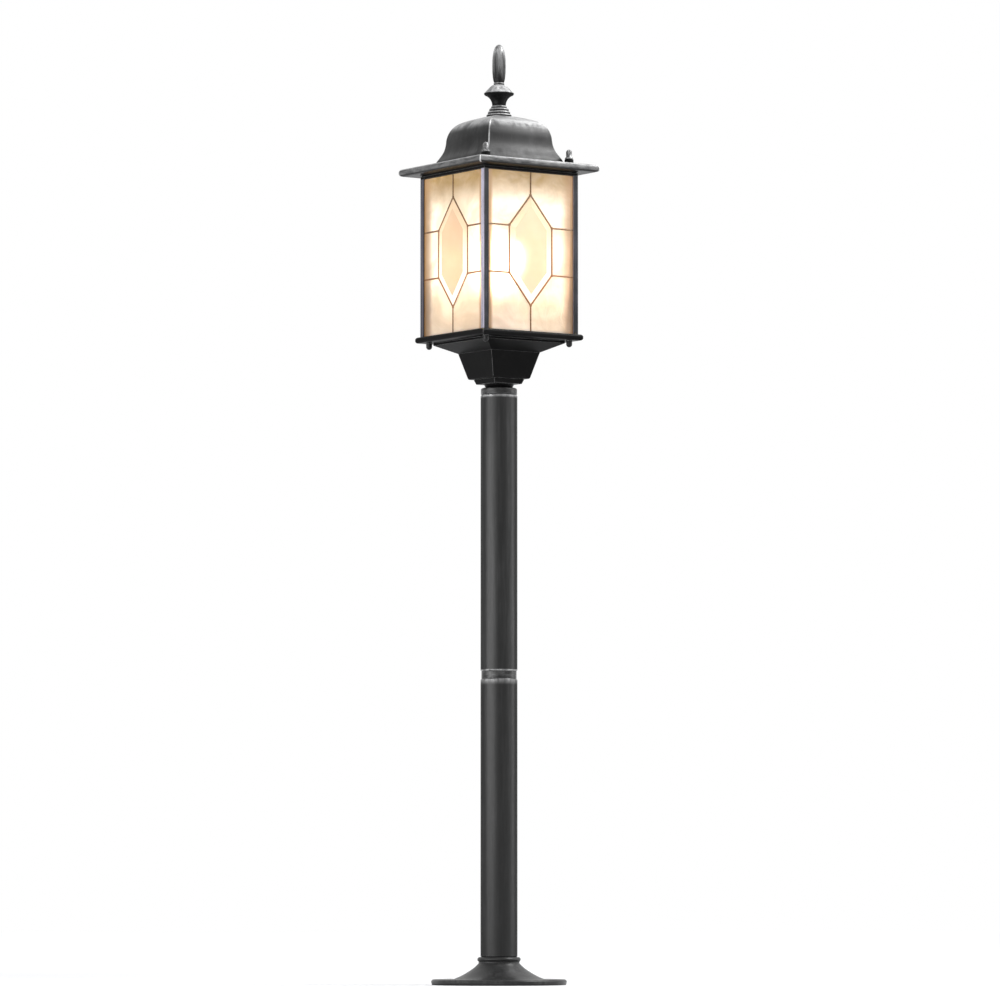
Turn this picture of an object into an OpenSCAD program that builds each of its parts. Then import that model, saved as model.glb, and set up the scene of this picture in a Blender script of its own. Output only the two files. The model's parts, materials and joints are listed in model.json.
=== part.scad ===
// Lantern floor lamp: a square glazed lantern on a two-piece round post with a cast foot.
// Millimetres, +Z up, origin on the floor at the centre of the foot.
// The lantern's faces look along +X, -X, +Y and -Y; its roof is hinged on the +Y side.

/* [Foot] */
// Diameter of the cast foot
foot_d = 165; // [160:1:200]
// Height of the foot, up to the shoulder that carries the lower tube
foot_h = 34; // [32:1:60]
// Thickness of the foot's flat rim
rim_t = 7; // [6:0.5:9]
// Width of the foot's flat rim
rim_w = 25; // [22:1:28]
// Diameter of the bead at the top of the foot
bead_d = 53; // [50:1:58]
// Distance of the ground-screw holes from the foot's edge
anchor_in = 13.5; // [12:0.5:15]
// Diameter of a ground-screw hole
anchor_d = 7; // [5:0.5:8]
// Number of ground-screw holes
anchor_count = 3; // [3:1:6]
// Bore of the rubber cable grommet
cable_d = 11; // [8:0.5:14]

/* [Post] */
// Outer diameter of both tubes
tube_d = 45; // [44:0.5:48]
// Wall of both tubes
tube_wall = 2; // [1.5:0.1:3]
// Length of each tube
tube_len = 338; // [200:1:700]
// Length of a nipple inside a tube
nipple_len = 30; // [20:1:50]
// Wall of a nipple
nipple_wall = 3.5; // [2.5:0.1:3.8]
// How much the ring between the tubes is set back from them
band_in = 1; // [0.5:0.1:1.4]
// Height of the ring between the tubes
band_h = 9.5; // [6:0.5:20]
// Height of the collar on the upper tube
collar_h = 8.5; // [7:0.5:20]
// Diameter of the lantern's spigot inside the collar
spigot_d = 30; // [28:0.5:31]
// Length of the lantern's spigot
spigot_len = 26; // [18:1:40]
// Wall of the lantern's spigot
spigot_wall = 3.5; // [2.5:0.5:5]

/* [Lantern base] */
// Diameter of the neck where it meets the collar
neck_d = 32.4; // [31.6:0.1:36]
// Height of the round neck
neck_h = 5; // [4:0.1:10]
// Width of the square step over the neck
step_w = 44; // [40:1:50]
// Height of the square step
step_h = 6; // [4:0.1:10]
// Width of the bowl at its bottom
bowl_low_w = 55.2; // [52:0.1:60]
// Width of the bowl at its top
bowl_top_w = 72; // [66:0.5:80]
// Height of the bowl
bowl_h = 32.2; // [26:0.1:45]
// Distance from the cage's faces in to the shoulder's edge
shoulder_in = 11.5; // [11:0.1:14]
// Height of the sloping shoulder
shoulder_h = 13.7; // [10:0.1:20]
// How far the base plate stands out from the cage
plate_out = 4.6; // [4:0.1:12]
// Thickness of the base plate
plate_t = 7.6; // [6:0.1:12]
// Wall of the base casting
cast_wall = 3.2; // [2.5:0.1:4]

/* [Cage] */
// Outer width of the glazed cage
cage_w = 139; // [130:0.5:150]
// Height of the cage, from the base plate to the roof plate
cage_h = 199.2; // [185:0.1:240]
// Width of a corner post's flange
flange_w = 6.8; // [6.2:0.1:9]
// Thickness of a corner post's flange
flange_t = 1.4; // [1:0.1:1.5]
// Distance of the tie rods from the cage's faces
rod_in = 7.8; // [7.6:0.1:8]
// Height of the top frame
frame_h = 3.4; // [3:0.1:5]
// Thickness of the roof gasket
gasket_t = 1; // [0.8:0.1:1.2]
// Height of the lips that hold the glass top and bottom
lip_h = 3; // [2:0.5:6]
// Thickness of those lips
lip_w = 3.6; // [2.5:0.1:4]

/* [Glass] */
// Thickness of a pane
glass_t = 3; // [2.6:0.1:3.2]
// Width of the six-sided bevelled piece
hex_w = 63; // [50:1:74]
// Height of the six-sided bevelled piece
hex_h = 135; // [110:1:140]
// Length of its upright sides
hex_side = 58; // [40:1:70]
// Height of its centre over the base plate
hex_rise = 99; // [90:1:104]
// Width of its bevel
bevel_w = 7.5; // [4:0.5:12]
// Height of its bevel
bevel_h = 1.2; // [0.6:0.1:1.4]
// Width of the lead strips
lead_w = 2.1; // [1.4:0.1:3]
// Thickness of the lead strips
lead_t = 0.8; // [0.4:0.1:1.2]

/* [Roof] */
// How far the roof plate stands out from the cage
roof_out = 19.5; // [14:0.5:30]
// Thickness of the roof plate
roof_t = 9.2; // [8:0.1:12]
// Distance from the cage's faces in to the dome's foot
dome_in = 12; // [12:0.1:15]
// Height of the dome
dome_h = 61.6; // [50:0.2:80]
// How far each side of the dome draws in up to its waist
waist_in = 10.3; // [8:0.1:14]
// Distance of the waist below the dome's top
waist_drop = 27.7; // [24:0.1:32]
// How far each side draws in from the waist to its shoulder
brow_in = 12.3; // [9:0.1:14]
// Distance of the shoulder below the dome's top
brow_drop = 6.6; // [5:0.1:9]
// Wall of the dome
dome_wall = 2.6; // [2:0.1:3.2]

/* [Finial] */
// Diameter of the widest ring under the finial
ring_d = 31; // [28:0.5:34]
// Diameter at the top of the rings
ring_top_d = 21; // [18:0.5:24]
// Number of rings under the finial
ring_count = 3; // [2:1:6]
// Height of one ring
ring_h = 3.6; // [2.4:0.1:5]
// Diameter of the finial's neck
neck_ring_d = 17; // [14:0.2:17]
// Diameter of the knob's rim
knob_d = 36.8; // [30:0.2:44]
// Height of the knob, neck included
knob_h = 32; // [27:0.5:40]
// Widest diameter of the spear
spear_d = 17.2; // [14:0.2:20]
// Height of the spear
spear_h = 47.4; // [36:0.2:70]
// Number of flutes on the spear
flute_count = 6; // [4:1:8]
// Depth of a flute
flute_deep = 1.5; // [0.6:0.1:2]

/* [Fasteners] */
// Diameter of the tie rods
rod_d = 3.8; // [3:0.1:4]
// Diameter of the rods' dome nuts
nut_d = 7.4; // [6.4:0.1:7.8]
// Height of the rods' dome nuts
nut_h = 8; // [7:0.5:12]
// Diameter of the cap screws' heads
cap_d = 10.2; // [9:0.1:10.6]
// Height of the cap screws' heads
cap_h = 12; // [8:0.5:14]
// Diameter of the cap screws' shanks
shank_d = 4; // [3:0.1:4.2]
// Thickness of the rubber washer under a cap screw
washer_t = 7.5; // [2:0.5:9]
// Diameter of a hinge pin
pin_d = 3; // [2.4:0.1:3.6]
// Distance of the hinge axis from the cage's back face
hinge_out = 5.6; // [5:0.1:7]
// Distance of each hinge from the middle
hinge_x = 42; // [30:1:50]

/* [Lamp] */
// Diameter of the bulb
bulb_d = 60; // [45:1:64]
// Length of the bulb, screw cap included
bulb_len = 106; // [98:1:115]
// Outer diameter of the lampholder
holder_d = 39; // [37:1:44]
// Height of the lampholder
holder_h = 44; // [42:1:48]
// Width of the steel strap under the lampholder
strap_w = 28; // [27:1:34]
// Thickness of the steel strap under the lampholder
strap_t = 1.6; // [1.2:0.1:2.5]

/* [Hidden] */
$fn = 64;

// Clearances
eps = 0.01;          // overlap of joined solids and of cuts
run = 0.05;          // radial, between a turning pin or screw and its hole
slip = 0.1;          // radial, between parts that plug together
seat = 0.3;          // between the glass and its seats, and between live contacts
swing = 0.35;        // radial, round a cap screw's shank as the roof swings

// Heights, from the floor up
lower_z = foot_h;
band_z = lower_z + tube_len;
upper_z = band_z + band_h;
collar_z = upper_z + tube_len;
neck_z = collar_z + collar_h;
step_z = neck_z + neck_h;
bowl_z = step_z + step_h;
shoulder_z = bowl_z + bowl_h;
plate_z = shoulder_z + shoulder_h;
cage_z = plate_z + plate_t;
roof_z = cage_z + cage_h;
frame_z = roof_z - gasket_t - frame_h;
dome_z = roof_z + roof_t;
ring_z = dome_z + dome_h;
knob_z = ring_z + ring_count * ring_h;

// Post
tube_bore = tube_d - 2 * tube_wall;
nipple_d = tube_bore - 2 * slip;
nipple_bore = nipple_d - 2 * nipple_wall;
tube_edge = 1;       // chamfer on the tubes' ends
grub_d = 4;          // grub screw in the collar
foot_wall = 4;
foot_under = 3;      // rise of the foot's hollow underside over the floor at its outer edge
grommet_z = 6;       // groove that holds the cable grommet
grommet_groove = 2;
grommet_lip = 1.5;
nipple_z = 12;       // seat of the nipple in the foot

// Cage, measured from the lamp's axis in X or Y
half_cage = cage_w / 2;
glass_face = half_cage - flange_t - slip;
glass_back = glass_face - glass_t;
channel_out = glass_back - slip;                  // the posts' screw channels
rod_at = half_cage - rod_in;
channel_in = 2 * rod_at - channel_out;
web = half_cage - channel_out + 0.6;
glass_half = half_cage - web - slip;
lip_out = glass_back - seat;
lip_in = lip_out - lip_w;
lip_half = channel_in - 0.7;
glass_low = cage_z + seat;
glass_top = frame_z - seat;
hex_z = cage_z + hex_rise;
leaf = 0.15;                                      // half the joint between pane and bevelled piece

// Screws
shank_deep = 7;                                   // reach of a cap screw into its corner post
shank_room = 2;                                   // free depth under it
nut_grip = 5;                                     // length of tie rod inside a dome nut
washer_d = cap_d + 0.8;
stud_d = 6;                                       // finial's stud
stud_len = 12;                                    // its reach below the rings
nut_t = 5;                                        // finial's nut

// Roof
roof_half = half_cage + roof_out;
dome_half = half_cage - dome_in;
boss_at = dome_half - dome_wall - 6;              // screws that hold the dome to the plate
boss_r = 4;
boss_h = 9;
roof_open = boss_at - boss_r - 4;                 // half the hole in the roof plate
dome_sink = 3;                                    // depth of the dome screws' heads in the plate
knob_low = -ring_count * ring_h - stud_len;       // lower end of the finial's stud, from its knob
lug_r = 3.6;
lug_w = 6.6;                                      // hinge lug on the roof plate
ear_w = 3;                                        // hinge ears on the top frame
ear_gap = 0.2;
hinge_y = half_cage + hinge_out;
hinge_z = roof_z - gasket_t - lug_r;

// Lamp
cap_r = 13;                                       // E27 screw cap
cap_len = 26;
contact_h = 3;
stem_h = 23;
holder_floor = 14;
strap_z = cage_z;
holder_z = strap_z + strap_t;
bulb_z = holder_z + holder_floor + contact_h;     // tip of the bulb's contact
cap_z = bulb_z + contact_h;
cap_top = cap_z + cap_len;
globe_r = bulb_d / 2;
globe_z = bulb_z + bulb_len - globe_r;
strap_half = lip_in - 1.5;
strap_screw_at = strap_half - 5;
earth_y = -strap_screw_at;
mouth = strap_screw_at - 8;                       // half the opening over the bowl
holder_screw_at = 11;
block = [24, 15, 14];                             // terminal block
block_sink = 3;
terminal_x = 7;
wire_r = 1.2;
wire_x = holder_d / 2 - 3.5;
wire_z = strap_z - block[2] / 2;
m3 = 2.9;                                         // small screws: thread, hole and head
m3_hole = 3.3;
m3_tap = 3;
m3_head = 5.6;
m3_head_h = 2;

// Points of a cubic curve, its first point left out
function curve(a, b, c, d, n = 8) =
    [for (i = [1:n]) let (t = i / n, s = 1 - t)
        s*s*s * a + 3*s*s*t * b + 3*s*t*t * c + t*t*t * d];

// Points of an arc, from one angle to another
function arc(centre, r, from, to, n = 6) =
    [for (i = [0:n]) let (a = from + (to - from) * i / n) centre + r * [cos(a), sin(a)]];

// Side of the dome: a flare, a round shoulder and a low slope up to the rings
dome_foot = [dome_half, 0];
dome_waist = [dome_half - waist_in, dome_h - waist_drop];
dome_brow = [dome_waist[0] - brow_in, dome_h - brow_drop];
dome_top = [ring_d / 2 + 0.5, dome_h];
dome_side = concat([dome_foot],
    curve(dome_foot, dome_foot + [0.1, 11.5], dome_waist + [0.7, -21.4], dome_waist, 12),
    curve(dome_waist, dome_waist + [-1.1, 8], dome_brow + [8, -4.7], dome_brow),
    curve(dome_brow, dome_brow + [-6.6, 3.3], dome_top + [4, -1.3], dome_top, 5));

// An open outline moved to its left by t
function moved(p, t) =
    [for (i = [0:len(p) - 1])
        let (d = p[min(i + 1, len(p) - 1)] - p[max(i - 1, 0)]) p[i] + t * [-d[1], d[0]] / norm(d)];

// The six-sided outline about the origin, drawn in by t
function six(t) =
    let (w = hex_w / 2, s = hex_side / 2, a = hex_h / 2, slope = norm([w, a - s]),
         x = w - t, y = s - t * (slope - (a - s)) / w, top = a - t * slope / w)
    [[x, -y], [x, y], [0, top], [-x, y], [-x, -y], [0, -top]];

// Solid of square section, from the half-widths and heights of one side
module square_form(side) {
    wide = 2 * max([for (p = side) p[0]]) + 2;
    outline = concat(side, [for (i = [len(side) - 1:-1:0]) [-side[i][0], side[i][1]]]);
    intersection() {
        rotate([90, 0, 0]) linear_extrude(wide, center = true) polygon(outline);
        rotate([90, 0, 90]) linear_extrude(wide, center = true) polygon(outline);
    }
}

// Square plate with rounded edges
module soft_plate(half, t, r) {
    square_form(concat([[half - r, 0]], arc([half - r, r], r, -60, 0), arc([half - r, t - r], r, 0, 90)));
}

module at_corners(d) {
    for (x = [0, 1], y = [0, 1]) mirror([x, 0, 0]) mirror([0, y, 0]) translate([d, d, 0]) children();
}

// Pipe with chamfered outer edges
module pipe(d, bore, h, bevel = 0) {
    rotate_extrude() polygon([[bore / 2, 0], [d / 2 - bevel, 0], [d / 2, bevel],
                              [d / 2, h - bevel], [d / 2 - bevel, h], [bore / 2, h]]);
}

// Small screw that points down from z = 0, with its head above
module small_screw(len) {
    translate([0, 0, -len]) cylinder(d = m3, h = len + eps);
    cylinder(d = m3_head, h = m3_head_h);
}

// ---- Foot and post ----

module foot() {
    r = foot_d / 2;
    flat = r - rim_w;
    bead = bead_d / 2;
    bead_r = 3;
    edge_r = 3;
    ogee_top = foot_h - 2 * bead_r - 1.5;
    ogee = curve([flat, rim_t], [flat - 8, rim_t + 1], [bead + 4, ogee_top - 7.5], [bead - 1.5, ogee_top]);
    socket = nipple_d / 2 + slip;
    cavity_in = socket + foot_wall;
    color("#4a4b4d") difference() {
        rotate_extrude() polygon(concat(
            [[nipple_bore / 2, 0], [r - 1, 0]],
            arc([r - edge_r, rim_t - edge_r], edge_r, 0, 90), [[flat, rim_t]], ogee,
            arc([bead - bead_r, foot_h - bead_r], bead_r, -60, 90, 8),
            [[socket, foot_h], [socket, nipple_z], [nipple_bore / 2, nipple_z]]));
        rotate_extrude() polygon(concat(
            [[cavity_in, -1], [flat - foot_wall, -1], [flat - foot_wall, foot_under]],
            [for (p = ogee) if (p[0] > cavity_in + foot_wall) p - [foot_wall, foot_wall]],
            [[cavity_in, ogee_top - foot_wall - 3]]));
        for (i = [0:anchor_count - 1]) rotate(90 + i * 360 / anchor_count)
            translate([r - anchor_in, 0, -1]) cylinder(d = anchor_d, h = rim_t + 2);
        translate([0, 0, grommet_z - slip])
            cylinder(d = nipple_bore + 2 * grommet_lip, h = grommet_groove + 2 * slip);
    }
}

module foot_nipple() {
    color("#3c3d3f") translate([0, 0, nipple_z])
        pipe(nipple_d, nipple_bore, foot_h + nipple_len - nipple_z);
}

module cable_grommet() {
    r = nipple_bore / 2 - slip;
    low = grommet_z - grommet_groove;
    high = grommet_z + 2 * grommet_groove;
    color("#202020") {
        translate([0, 0, low]) pipe(2 * r, cable_d, high - low);
        translate([0, 0, grommet_z]) pipe(2 * (r + grommet_lip), cable_d, grommet_groove);
    }
}

module tube(z) {
    color("#47484a") translate([0, 0, z]) pipe(tube_d, tube_bore, tube_len, tube_edge);
}

module tube_coupler() {
    color("#3c3d3f") {
        translate([0, 0, band_z - nipple_len]) pipe(nipple_d, nipple_bore, band_h + 2 * nipple_len);
        translate([0, 0, band_z]) pipe(tube_d - 2 * band_in, nipple_d - 1, band_h, tube_edge / 2);
    }
}

module head_collar() {
    r = tube_d / 2 - 0.3;
    round = 2;
    bore = spigot_d / 2 + slip;
    color("#58595b") difference() {
        rotate_extrude() polygon(concat(
            [[bore, collar_z - nipple_len], [nipple_d / 2, collar_z - nipple_len], [nipple_d / 2, collar_z],
             [r - tube_edge, collar_z], [r, collar_z + tube_edge]],
            arc([r - round, neck_z - round], round, 0, 90), [[bore, neck_z]]));
        translate([0, 0, collar_z + collar_h / 2]) rotate([-90, 0, 0]) cylinder(d = grub_d, h = tube_d);
    }
}

module collar_screw() {
    grub_len = (tube_d - spigot_d) / 2 - 1;
    socket = 1.5;
    color("#2a2a2b") translate([0, spigot_d / 2, collar_z + collar_h / 2]) rotate([-90, 0, 0])
        difference() {
            cylinder(d = grub_d - 2 * run, h = grub_len);
            translate([0, 0, grub_len - socket]) cylinder(d = grub_d / 2, h = socket + 1, $fn = 6);
        }
}

// ---- Lantern base ----

module lantern_base() {
    low = bowl_low_w / 2;
    top = bowl_top_w / 2;
    out = half_cage - shoulder_in;
    round = 2.2;
    drop = 2.9;      // upright part of the shoulder under the plate
    screw_deep = 5;
    cavity = [[low - cast_wall - round / 2, bowl_z + cast_wall], [top - cast_wall - 0.5, shoulder_z + 1],
              [mouth, plate_z - drop + 1], [mouth, cage_z + 1]];
    color("#2d2e2f") difference() {
        union() {
            translate([0, 0, neck_z]) cylinder(d1 = neck_d, d2 = neck_d + 4.8, h = neck_h + eps);
            translate([0, 0, neck_z - spigot_len]) cylinder(d = spigot_d, h = spigot_len + eps);
            square_form(concat(
                [[step_w / 2 - 2, step_z], [step_w / 2, step_z + step_h - 1], [step_w / 2, bowl_z + eps]],
                arc([low - round, bowl_z + round], round, -90, -15, 4), [[top, shoulder_z]],
                [[out, plate_z - drop], [out, plate_z + 1]]));
            translate([0, 0, plate_z]) soft_plate(half_cage + plate_out, plate_t, 3);
            translate([0, 0, cage_z - eps]) lips();
        }
        square_form(cavity);
        translate([0, 0, neck_z - spigot_len - 1])
            cylinder(d = spigot_d - 2 * spigot_wall, h = bowl_z + cast_wall - neck_z + spigot_len + 2);
        translate([0, 0, plate_z - 1]) at_corners(rod_at) cylinder(d = rod_d + 2 * slip, h = plate_t + 2);
        for (p = [[-strap_screw_at, 0], [strap_screw_at, 0], [0, earth_y]])
            translate([p[0], p[1], cage_z - screw_deep]) cylinder(d = m3_tap, h = screw_deep + 1);
    }
}

// Four bars that keep the panes' edges from moving inward
module lips() {
    for (a = [0:90:270]) rotate(a)
        translate([-lip_half, -lip_out, 0]) cube([2 * lip_half, lip_w, lip_h + eps]);
}

// ---- Cage ----

// Corner post: an angle with a screw channel behind it, from the +X, +Y corner mirrored to x and y
module post(x, y) {
    h = frame_z - cage_z;
    color("#6a6b6d") mirror([x < 0 ? 1 : 0, 0, 0]) mirror([0, y < 0 ? 1 : 0, 0])
        translate([0, 0, cage_z]) difference() {
            linear_extrude(h) {
                translate([half_cage - flange_w, half_cage - flange_t]) square([flange_w, flange_t]);
                translate([half_cage - flange_t, half_cage - flange_w]) square([flange_t, flange_w]);
                translate([half_cage - web, half_cage - web]) square(web);
                translate([channel_in, channel_in]) square(channel_out - channel_in);
            }
            translate([rod_at, rod_at, -1]) cylinder(d = rod_d + 2 * slip, h = h + 2);
            translate([rod_at, rod_at, h - shank_deep - shank_room])
                cylinder(d = shank_d + 2 * swing, h = shank_deep + shank_room + 1);
        }
}

// Outline of the top frame and of the gasket on it: a ring with corner pads and the two cap screws' holes
module frame_outline(outer) {
    difference() {
        union() {
            difference() {
                square(2 * outer, center = true);
                square(2 * lip_in, center = true);
            }
            at_corners(channel_in) square(outer - channel_in);
        }
        for (x = [-1, 1]) translate([x * rod_at, -rod_at]) circle(d = shank_d + 2 * swing);
    }
}

// Knuckle of a hinge about the X axis; the arm that carries it is its child
module knuckle(w) {
    difference() {
        union() {
            rotate([0, 90, 0]) cylinder(r = lug_r, h = w, center = true);
            children();
        }
        rotate([0, 90, 0]) cylinder(d = pin_d + 2 * run, h = w + 2, center = true);
    }
}

module top_frame() {
    arm = hinge_out + 1;
    color("#3a3b3c") {
        translate([0, 0, frame_z]) linear_extrude(frame_h) frame_outline(half_cage);
        translate([0, 0, frame_z + eps]) mirror([0, 0, 1]) lips();
        for (x = [-1, 1], side = [-1, 1])
            translate([x * hinge_x + side * (lug_w / 2 + ear_gap + ear_w / 2), hinge_y, hinge_z])
                knuckle(ear_w)
                    translate([-ear_w / 2, -arm, frame_z - hinge_z]) cube([ear_w, arm, frame_h]);
    }
}

module roof_gasket() {
    color("#1c1c1c") translate([0, 0, roof_z - gasket_t])
        linear_extrude(gasket_t) frame_outline(half_cage - 1);
}

// Puts a flat drawing, whose y is height, in front of the -Y face and turns it to another face
module on_face(turn, depth) {
    rotate(turn) translate([0, -depth, 0]) rotate([90, 0, 0]) children();
}

module pane(turn) {
    color([0.96, 0.86, 0.68, 0.6]) on_face(turn, glass_back) linear_extrude(glass_t) difference() {
        translate([-glass_half, glass_low]) square([2 * glass_half, glass_top - glass_low]);
        translate([0, hex_z]) polygon(six(-leaf));
    }
}

// Bevelled piece: as thick as the pane, with a raised middle inside the lead strips
module bevel(turn) {
    foot_in = lead_w / 2 + 0.2;
    lower = six(foot_in);
    upper = six(foot_in + bevel_w);
    sink = 0.2;
    color([1, 0.95, 0.85, 0.5]) on_face(turn, glass_back) translate([0, hex_z, 0]) {
        linear_extrude(glass_t) polygon(six(leaf));
        translate([0, 0, glass_t - sink]) polyhedron(
            points = concat([for (p = lower) [p[0], p[1], 0]], [for (p = lower) [p[0], p[1], sink]],
                            [for (p = upper) [p[0], p[1], sink + bevel_h]]),
            faces = concat([[0, 1, 2, 3, 4, 5]],
                           [for (k = [0, 6], i = [0:5]) let (j = (i + 1) % 6)
                               [k + i, k + i + 6, k + j + 6, k + j]],
                           [[17, 16, 15, 14, 13, 12]]));
    }
}

// Lead strips: the six-sided ring, and the lines from it to the pane's visible edges
module leading(turn) {
    reach = half_cage - flange_w - slip;
    color("#5a4326") on_face(turn, glass_face) linear_extrude(lead_t) {
        translate([0, hex_z]) difference() {
            polygon(six(-lead_w / 2));
            polygon(six(lead_w / 2));
        }
        translate([-lead_w / 2, glass_low]) square([lead_w, hex_z - hex_h / 2 - glass_low]);
        translate([-lead_w / 2, hex_z + hex_h / 2]) square([lead_w, glass_top - hex_z - hex_h / 2]);
        for (x = [-reach, hex_w / 2], y = [-1, 1])
            translate([x, hex_z + y * hex_side / 2 - lead_w / 2]) square([reach - hex_w / 2, lead_w]);
    }
}

module tie_rods() {
    low = plate_z - nut_grip;
    high = frame_z - shank_deep - shank_room - 1;
    color("#8d8f92") at_corners(rod_at) translate([0, 0, low]) cylinder(d = rod_d, h = high - low);
}

module rod_nuts() {
    r = nut_d / 2;
    color("#3a3b3d") translate([0, 0, plate_z]) at_corners(rod_at) difference() {
        rotate_extrude() polygon(concat([[0, 0], [r, 0]], arc([0, r - nut_h], r, 0, -90, 8)));
        translate([0, 0, -nut_grip - run]) cylinder(d = rod_d + 2 * run, h = nut_grip + 1);
    }
}

// ---- Roof ----

module roof_plate() {
    hole_d = shank_d + 2 * run;
    color("#6f7174") difference() {
        union() {
            translate([0, 0, roof_z]) soft_plate(roof_half, roof_t, 4);
            for (x = [-1, 1]) translate([x * hinge_x, hinge_y, hinge_z]) knuckle(lug_w)
                translate([-lug_w / 2, -lug_r, 0]) cube([lug_w, 2 * lug_r, roof_z - hinge_z + 1]);
        }
        translate([-roof_open, -roof_open, roof_z - 1]) cube([2 * roof_open, 2 * roof_open, roof_t + 2]);
        for (x = [-1, 1]) translate([x * rod_at, -rod_at, roof_z - 1]) cylinder(d = hole_d, h = roof_t + 2);
        translate([0, 0, roof_z - 1]) at_corners(boss_at) {
            cylinder(d = m3_hole, h = roof_t + 2);
            cylinder(d = m3_head + 2 * swing, h = dome_sink + 1);
        }
    }
}

module roof_dome() {
    inner = moved(dome_side, dome_wall);
    ceiling = dome_h - dome_wall;
    color("#5c5e60") translate([0, 0, dome_z]) difference() {
        square_form(dome_side);
        difference() {
            square_form(concat([[inner[0][0], -1]], [for (p = inner) if (p[1] < ceiling) p],
                               [[ring_d / 2 - dome_wall, ceiling]]));
            at_corners(boss_at - boss_r) translate([0, 0, -2]) cube([dome_half, dome_half, boss_h + 2]);
        }
        translate([0, 0, -1]) at_corners(boss_at) cylinder(d = m3_tap, h = boss_h);
        cylinder(d = stud_d + 2 * slip, h = dome_h + 1);
    }
}

module dome_screws() {
    color("#77797c") translate([0, 0, roof_z + dome_sink]) at_corners(boss_at) mirror([0, 0, 1])
        small_screw(roof_t - dome_sink + boss_h - 3);
}

module finial_collar() {
    r0 = ring_d / 2;
    step = (ring_d - ring_top_d) / 2 / ring_count;
    round = ring_h / 2 - 0.2;
    color("#8d8f92") difference() {
        union() for (i = [0:ring_count - 1])
            translate([0, 0, ring_z + i * ring_h]) rotate_extrude() polygon(concat(
                [[0, 0], [r0 - i * step - 0.8, 0]],
                arc([r0 - i * step - round, ring_h / 2], round, -60, 60),
                [[r0 - i * step - 1.4, ring_h], [0, ring_h]]));
        translate([0, 0, ring_z - 1]) cylinder(d = stud_d + 2 * slip, h = ring_count * ring_h + 2);
    }
}

// Finial: a waisted knob with a fluted spear on it, and a stud down through the rings and the dome
module finial() {
    r = knob_d / 2;
    s = spear_d / 2;
    n = neck_ring_d / 2;
    rim = knob_h - 13.6;
    top = knob_h;
    tip = top + spear_h;
    flute_r = 4.2;
    side = concat(
        [[0, 0], [n + 0.6, 0]], arc([n - 0.3, 1.6], 1.5, -60, 60),
        curve([n, 3.2], [n - 0.3, 8], [n + 2.4, rim - 4.2], [r - 0.9, rim - 1.9], 6),
        [[r, rim - 0.6], [r, rim + 0.5], [r - 0.8, rim + 1.2]],
        curve([r - 0.8, rim + 1.2], [r * 0.8, rim + 4], [s + 2.2, top - 4.4], [s * 0.86, top - 3], 6),
        [[s * 0.7, top - 2.6], [s * 0.76, top - 2], [s * 0.76, top - 0.6], [s * 0.7, top]],
        curve([s * 0.7, top], [s * 0.86, top + 3], [s, top + 10], [s, top + spear_h * 0.42]),
        curve([s, top + spear_h * 0.42], [s, tip - 10], [s * 0.66, tip - 0.4], [0, tip]));
    color("#77797c") translate([0, 0, knob_z]) {
        difference() {
            rotate_extrude() polygon(side);
            for (i = [0:flute_count - 1]) rotate((i + 0.5) * 360 / flute_count)
                translate([s + flute_r - flute_deep, 0, top + 1]) cylinder(r = flute_r, h = spear_h);
        }
        translate([0, 0, knob_low]) cylinder(d = stud_d, h = 1 - knob_low);
    }
}

module finial_nut() {
    color("#9a9b9e") translate([0, 0, ring_z - dome_wall - nut_t]) difference() {
        cylinder(d = 2 * stud_d, h = nut_t, $fn = 6);
        translate([0, 0, -1]) cylinder(d = stud_d + 2 * run, h = nut_t + 2);
    }
}

module hinge_pins() {
    len = lug_w + 2 * (ear_gap + ear_w);
    color("#a0a2a5") for (x = [-1, 1]) translate([x * hinge_x, hinge_y, hinge_z]) rotate([0, 90, 0]) {
        cylinder(d = pin_d, h = len + 1, center = true);
        translate([0, 0, len / 2]) cylinder(d = pin_d + 1.6, h = 1);
    }
}

// Captive cap screw: a flanged dome head over the washer, with a shank that reaches into the corner post
module cap_screw(x) {
    z = dome_z + washer_t;
    low = frame_z - shank_deep - z;
    flange_r = cap_d / 2;
    dome_r = cap_d * 0.36;
    color("#b8babd") translate([x * rod_at, -rod_at, z]) {
        rotate_extrude() polygon(concat(
            [[0, 0], [flange_r - 0.4, 0], [flange_r, 0.4], [flange_r, 1.6],
             [flange_r - 0.5, 2.1], [dome_r, 2.4]],
            arc([0, cap_h - dome_r], dome_r, 0, 90, 8)));
        translate([0, 0, low]) cylinder(d = shank_d, h = 1 - low);
    }
}

module cap_washer(x) {
    color("#1d1d1e") translate([x * rod_at, -rod_at, dome_z])
        pipe(washer_d, shank_d + 2 * run, washer_t, 0.6);
}

// ---- Lamp and wiring ----

module holder_strap() {
    color("#b0b2b4") difference() {
        translate([-strap_half, -strap_w / 2, strap_z]) cube([2 * strap_half, strap_w, strap_t]);
        for (x = [-1, 1]) {
            translate([x * strap_screw_at, 0, strap_z - 1]) cylinder(d = m3_hole, h = strap_t + 2);
            translate([x * wire_x, 0, strap_z - 1]) cylinder(r = wire_r + 1, h = strap_t + 2);
            translate([0, x * holder_screw_at, strap_z - 1]) cylinder(d = m3_hole, h = strap_t + 2);
        }
        translate([0, 0, strap_z - 1]) cylinder(d = m3_tap, h = strap_t + 2);
    }
}

module strap_screws() {
    color("#c8b878") for (x = [-1, 1]) translate([x * strap_screw_at, 0, strap_z + strap_t])
        small_screw(strap_t + 4);
}

module holder_screws() {
    color("#c8b878") for (y = [-1, 1]) translate([0, y * holder_screw_at, strap_z]) mirror([0, 0, 1])
        small_screw(strap_t + 4);
}

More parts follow.
